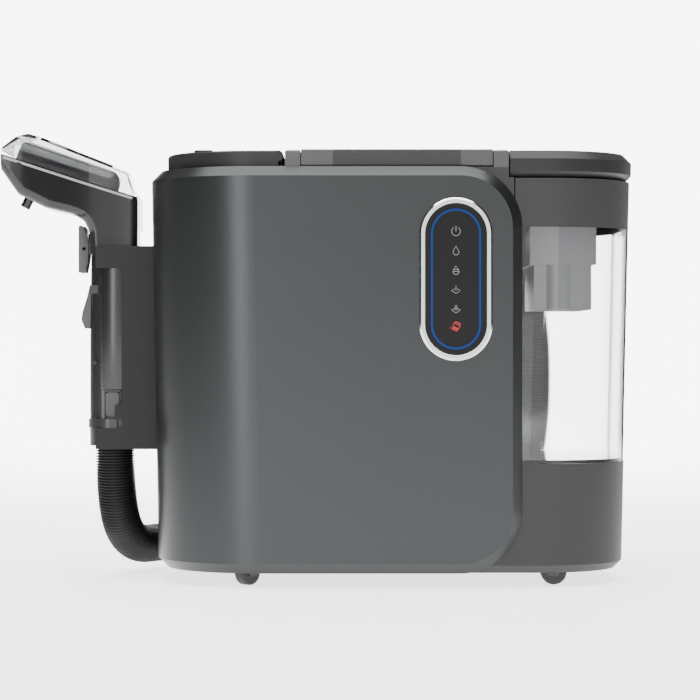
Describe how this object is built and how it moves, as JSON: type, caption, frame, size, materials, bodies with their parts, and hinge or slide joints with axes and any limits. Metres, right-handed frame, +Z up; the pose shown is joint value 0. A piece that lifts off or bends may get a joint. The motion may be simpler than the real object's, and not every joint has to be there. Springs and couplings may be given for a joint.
{
  "type": "portable spot extractor",
  "caption": "portable spot extractor with clear lift-out recovery tank, folding carry handle, swivel casters and a hand tool on a corrugated hose",
  "frame": {"origin": "centre of the bounding box without the hose, on the floor under the casters", "axes": "+Z up, +X from the hand tool towards the recovery tank, -Y is the front with the control pod"},
  "size_m": [0.4945, 0.2531, 0.3502],
  "materials": {
    "panel": "gloss metallic graphite plastic",
    "housing": "fine-textured dark grey plastic",
    "deck": "fine-textured near-black plastic",
    "satin": "satin black plastic",
    "chrome": "bright chrome plating",
    "lens": "gloss black touch panel",
    "light": "blue translucent light guide",
    "clear": "clear moulded plastic",
    "smoke": "lightly frosted moulded plastic",
    "grey": "satin mid grey plastic",
    "white": "natural white plastic",
    "rubber": "soft black rubber",
    "hose": "black corrugated hose",
    "board": "green circuit board laminate",
    "steel": "zinc plated steel",
    "alloy": "bare aluminium",
    "tubing": "soft translucent tubing"
  },
  "bodies": {
    "chassis": {"air_duct": "tubing", "base_pan": "housing", "control_bezel": "chrome", "control_board": "board", "control_lens": "lens", "cord_gland": "rubber", "end_cover": "housing", "exhaust_grille": "housing", "far_side_panel": "panel", "grip_far": "satin", "grip_near": "satin", "head_shell": "satin", "hose_cuff": "satin", "hose_hooks": "housing", "hose_port": "housing", "housing_screws": "steel", "light_guide": "light", "main_housing": "housing", "motor_can": "alloy", "motor_mount": "rubber", "near_side_panel": "panel", "nozzle_window": "clear", "power_board": "board", "spray_tip": "white", "spray_tube": "tubing", "suction_duct": "tubing", "suction_hose": "hose", "suction_throat": "grey", "tank_seal": "rubber", "tool_cradle": "housing", "tool_screws": "steel", "top_deck": "deck", "valve_body": "grey", "valve_seat": "white", "water_pump": "grey", "water_tubes": "tubing"},
    "recovery_tank": {"clear_tank": "clear", "tank_collar": "housing"},
    "lid": {"tank_lid": "deck", "lid_seal": "rubber", "separator": "grey"},
    "float": {"tank_float": "white"},
    "water_tank": {"clean_tank": "smoke"},
    "water_cap": {"filler_cap": "deck"},
    "tank_valve": {"outlet_valve": "white"},
    "handle": {"carry_handle": "deck", "handle_sleeve": "rubber"},
    "trigger_lever": {"trigger": "satin"},
    "plunger": {"valve_plunger": "white"},
    "latch": {"nozzle_latch": "satin"},
    "button": {"release_button": "satin"},
    "rotor": {"impeller": "white"},
    "swivel_front_left": {"caster_fork_front_left": "satin"},
    "wheel_front_left": {"caster_wheel_front_left": "rubber"},
    "swivel_front_right": {"caster_fork_front_right": "satin"},
    "wheel_front_right": {"caster_wheel_front_right": "rubber"},
    "swivel_rear_left": {"caster_fork_rear_left": "satin"},
    "wheel_rear_left": {"caster_wheel_rear_left": "rubber"},
    "swivel_rear_right": {"caster_fork_rear_right": "satin"},
    "wheel_rear_right": {"caster_wheel_rear_right": "rubber"}
  },
  "joints": [
    {"name": "handle_fold", "type": "hinge", "parent": "chassis", "child": "handle", "pos_m": [0.0577, -0.0194, 0.3274], "axis": [-1, 0, 0], "range_deg": [0, 90]},
    {"name": "recovery_tank_lift", "type": "slide", "parent": "chassis", "child": "recovery_tank", "axis": [0, 0, 1], "range_m": [0, 0.25]},
    {"name": "lid_lift", "type": "slide", "parent": "recovery_tank", "child": "lid", "axis": [0, 0, 1], "range_m": [0, 0.12]},
    {"name": "float_rise", "type": "slide", "parent": "lid", "child": "float", "axis": [0, 0, 1], "range_m": [0, 0.012]},
    {"name": "water_tank_lift", "type": "slide", "parent": "chassis", "child": "water_tank", "axis": [0, 0, 1], "range_m": [0, 0.28]},
    {"name": "cap_open", "type": "hinge", "parent": "water_tank", "child": "water_cap", "pos_m": [-0.0292, -0.0194, 0.3291], "axis": [0, 1, 0], "range_deg": [0, 90]},
    {"name": "tank_valve_lift", "type": "slide", "parent": "water_tank", "child": "tank_valve", "axis": [0, 0, 1], "range_m": [0, 0.003]},
    {"name": "trigger_pull", "type": "hinge", "parent": "chassis", "child": "trigger_lever", "pos_m": [-0.1783, -0.0194, 0.229], "axis": [0, -1, 0], "range_deg": [0, 7], "stiffness_Nm_per_rad": 0.5},
    {"name": "plunger_push", "type": "slide", "parent": "chassis", "child": "plunger", "axis": [1, 0, 0], "range_m": [0, 0.0035]},
    {"name": "latch_press", "type": "hinge", "parent": "chassis", "child": "latch", "pos_m": [-0.1859, -0.0194, 0.2614], "axis": [0, -1, 0], "range_deg": [0, 6], "stiffness_Nm_per_rad": 0.4},
    {"name": "release_press", "type": "slide", "parent": "chassis", "child": "button", "axis": [0, 1, 0], "range_m": [0, 0.003], "stiffness_N_per_m": 300},
    {"name": "impeller_spin", "type": "hinge", "parent": "chassis", "child": "rotor", "pos_m": [0.0677, -0.0194, 0.18], "axis": [0, 0, 1], "continuous": true},
    {"name": "swivel_turn_front_left", "type": "hinge", "parent": "chassis", "child": "swivel_front_left", "pos_m": [-0.0483, -0.0894, 0.025], "axis": [0, 0, 1], "continuous": true},
    {"name": "wheel_roll_front_left", "type": "hinge", "parent": "swivel_front_left", "child": "wheel_front_left", "pos_m": [-0.05325, -0.09435, 0.01], "axis": [0.7071, -0.7071, 0], "continuous": true},
    {"name": "swivel_turn_front_right", "type": "hinge", "parent": "chassis", "child": "swivel_front_right", "pos_m": [0.1757, -0.0894, 0.025], "axis": [0, 0, 1], "continuous": true},
    {"name": "wheel_roll_front_right", "type": "hinge", "parent": "swivel_front_right", "child": "wheel_front_right", "pos_m": [0.1827, -0.0894, 0.01], "axis": [0, 1, 0], "continuous": true},
    {"name": "swivel_turn_rear_left", "type": "hinge", "parent": "chassis", "child": "swivel_rear_left", "pos_m": [-0.0483, 0.0506, 0.025], "axis": [0, 0, 1], "continuous": true},
    {"name": "wheel_roll_rear_left", "type": "hinge", "parent": "swivel_rear_left", "child": "wheel_rear_left", "pos_m": [-0.05436, 0.0541, 0.01], "axis": [-0.5, -0.866, 0], "continuous": true},
    {"name": "swivel_turn_rear_right", "type": "hinge", "parent": "chassis", "child": "swivel_rear_right", "pos_m": [0.1757, 0.0506, 0.025], "axis": [0, 0, 1], "continuous": true},
    {"name": "wheel_roll_rear_right", "type": "hinge", "parent": "swivel_rear_right", "child": "wheel_rear_right", "pos_m": [0.18176, 0.0541, 0.01], "axis": [-0.5, 0.866, 0], "continuous": true}
  ],
  "couplings": [
    {"joint": "plunger_push", "follows": "trigger_pull", "m_per_rad": 0.024}
  ]
}
